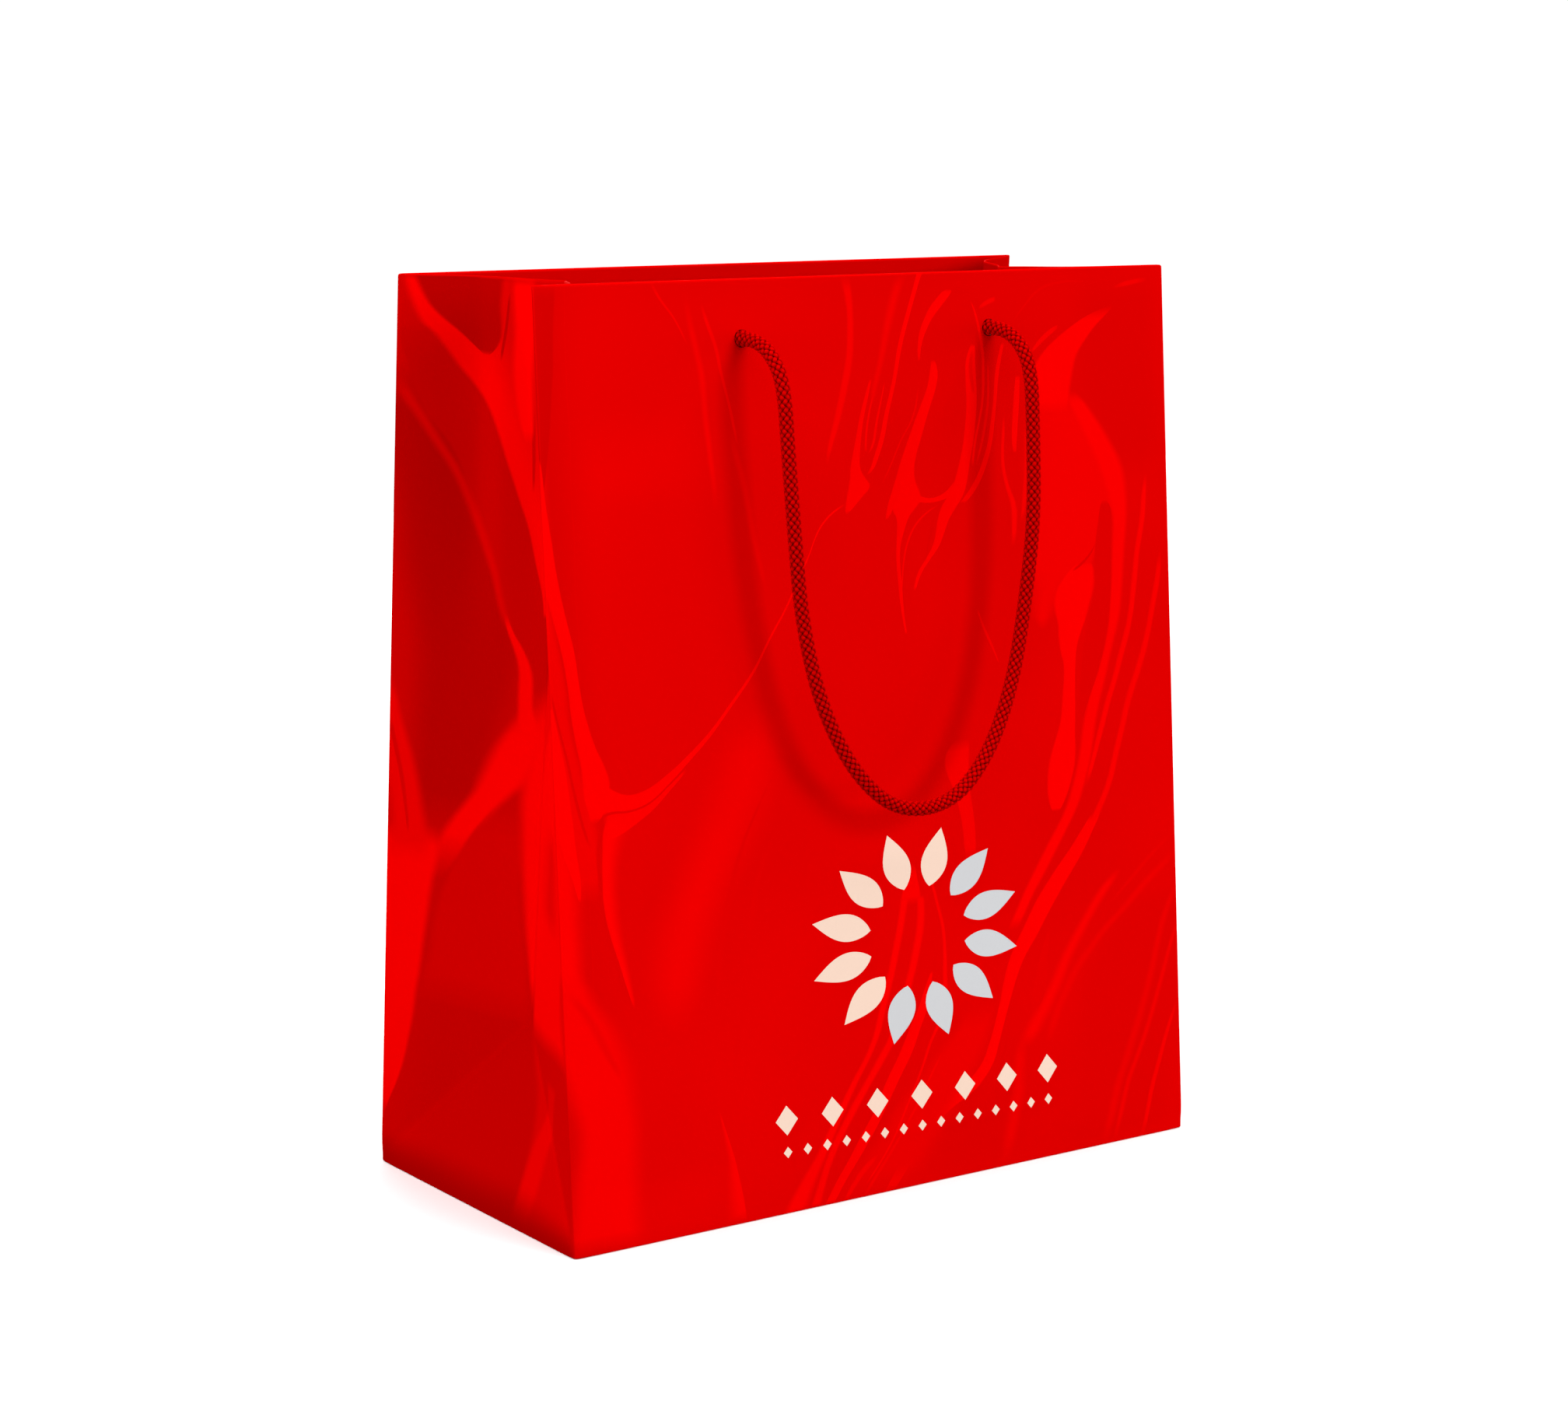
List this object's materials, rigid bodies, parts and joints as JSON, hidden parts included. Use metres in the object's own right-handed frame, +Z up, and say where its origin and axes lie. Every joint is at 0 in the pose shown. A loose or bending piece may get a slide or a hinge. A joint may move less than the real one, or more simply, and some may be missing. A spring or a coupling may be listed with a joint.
{
  "type": "gift bag",
  "caption": "Glossy red paper gift bag with folded side gussets, a turned-in reinforced mouth, a bottom board and a knotted rope handle on each side.",
  "frame": {"origin": "on the floor under the middle of the bag's bottom", "axes": "+X to the right across the front panel, +Y towards the back panel, +Z up; the front panel faces -Y"},
  "size_m": [0.254, 0.1574, 0.3042],
  "materials": {
    "red_paper": "gloss",
    "hem_board": "matte",
    "bottom_board": "matte",
    "rope": "matte"
  },
  "bodies": {
    "base": {"bottom_front_flap": "red_paper", "bottom_back_flap": "red_paper", "bottom_left_flap": "red_paper", "bottom_right_flap": "red_paper", "bottom_board": "bottom_board", "left_gusset_foot": "red_paper", "left_gusset_front_corner": "red_paper", "left_gusset_back_corner": "red_paper", "left_gusset_front_half": "red_paper", "left_gusset_back_half": "red_paper", "right_gusset_foot": "red_paper", "right_gusset_front_corner": "red_paper", "right_gusset_back_corner": "red_paper", "right_gusset_front_half": "red_paper", "right_gusset_back_half": "red_paper"},
    "front_panel": {"front_panel": "red_paper", "front_hem": "red_paper", "front_board": "hem_board", "front_left_knot": "rope", "front_right_knot": "rope", "front_left_bend": "rope", "front_right_bend": "rope"},
    "back_panel": {"back_panel": "red_paper", "back_hem": "red_paper", "back_board": "hem_board", "back_left_knot": "rope", "back_right_knot": "rope", "back_left_bend": "rope", "back_right_bend": "rope", "seam_flap": "red_paper"},
    "front_handle": {"front_handle": "rope"},
    "back_handle": {"back_handle": "rope"}
  },
  "joints": [
    {"name": "front_panel_fold", "type": "hinge", "parent": "base", "child": "front_panel", "pos_m": [0, -0.0635, 0], "axis": [1, 0, 0], "range_deg": [-5.8, 4], "stiffness_Nm_per_rad": 0.2, "springref_deg": 1.72, "deforming": ["left_gusset_front_corner", "left_gusset_front_half", "left_gusset_back_half", "right_gusset_front_corner", "right_gusset_front_half", "right_gusset_back_half"]},
    {"name": "back_panel_fold", "type": "hinge", "parent": "base", "child": "back_panel", "pos_m": [0, 0.0635, 0], "axis": [-1, 0, 0], "range_deg": [-5.8, 4], "stiffness_Nm_per_rad": 0.2, "springref_deg": 1.72, "deforming": ["left_gusset_back_corner", "left_gusset_front_half", "left_gusset_back_half", "right_gusset_back_corner", "right_gusset_front_half", "right_gusset_back_half"]},
    {"name": "front_handle_swing", "type": "hinge", "parent": "front_panel", "child": "front_handle", "pos_m": [0, -0.0573, 0.28628], "axis": [-1, 0, 0], "range_deg": [0, 175], "deforming": ["front_left_bend", "front_right_bend"]},
    {"name": "back_handle_swing", "type": "hinge", "parent": "back_panel", "child": "back_handle", "pos_m": [0, 0.0573, 0.28628], "axis": [1, 0, 0], "range_deg": [0, 175], "deforming": ["back_left_bend", "back_right_bend"]}
  ]
}
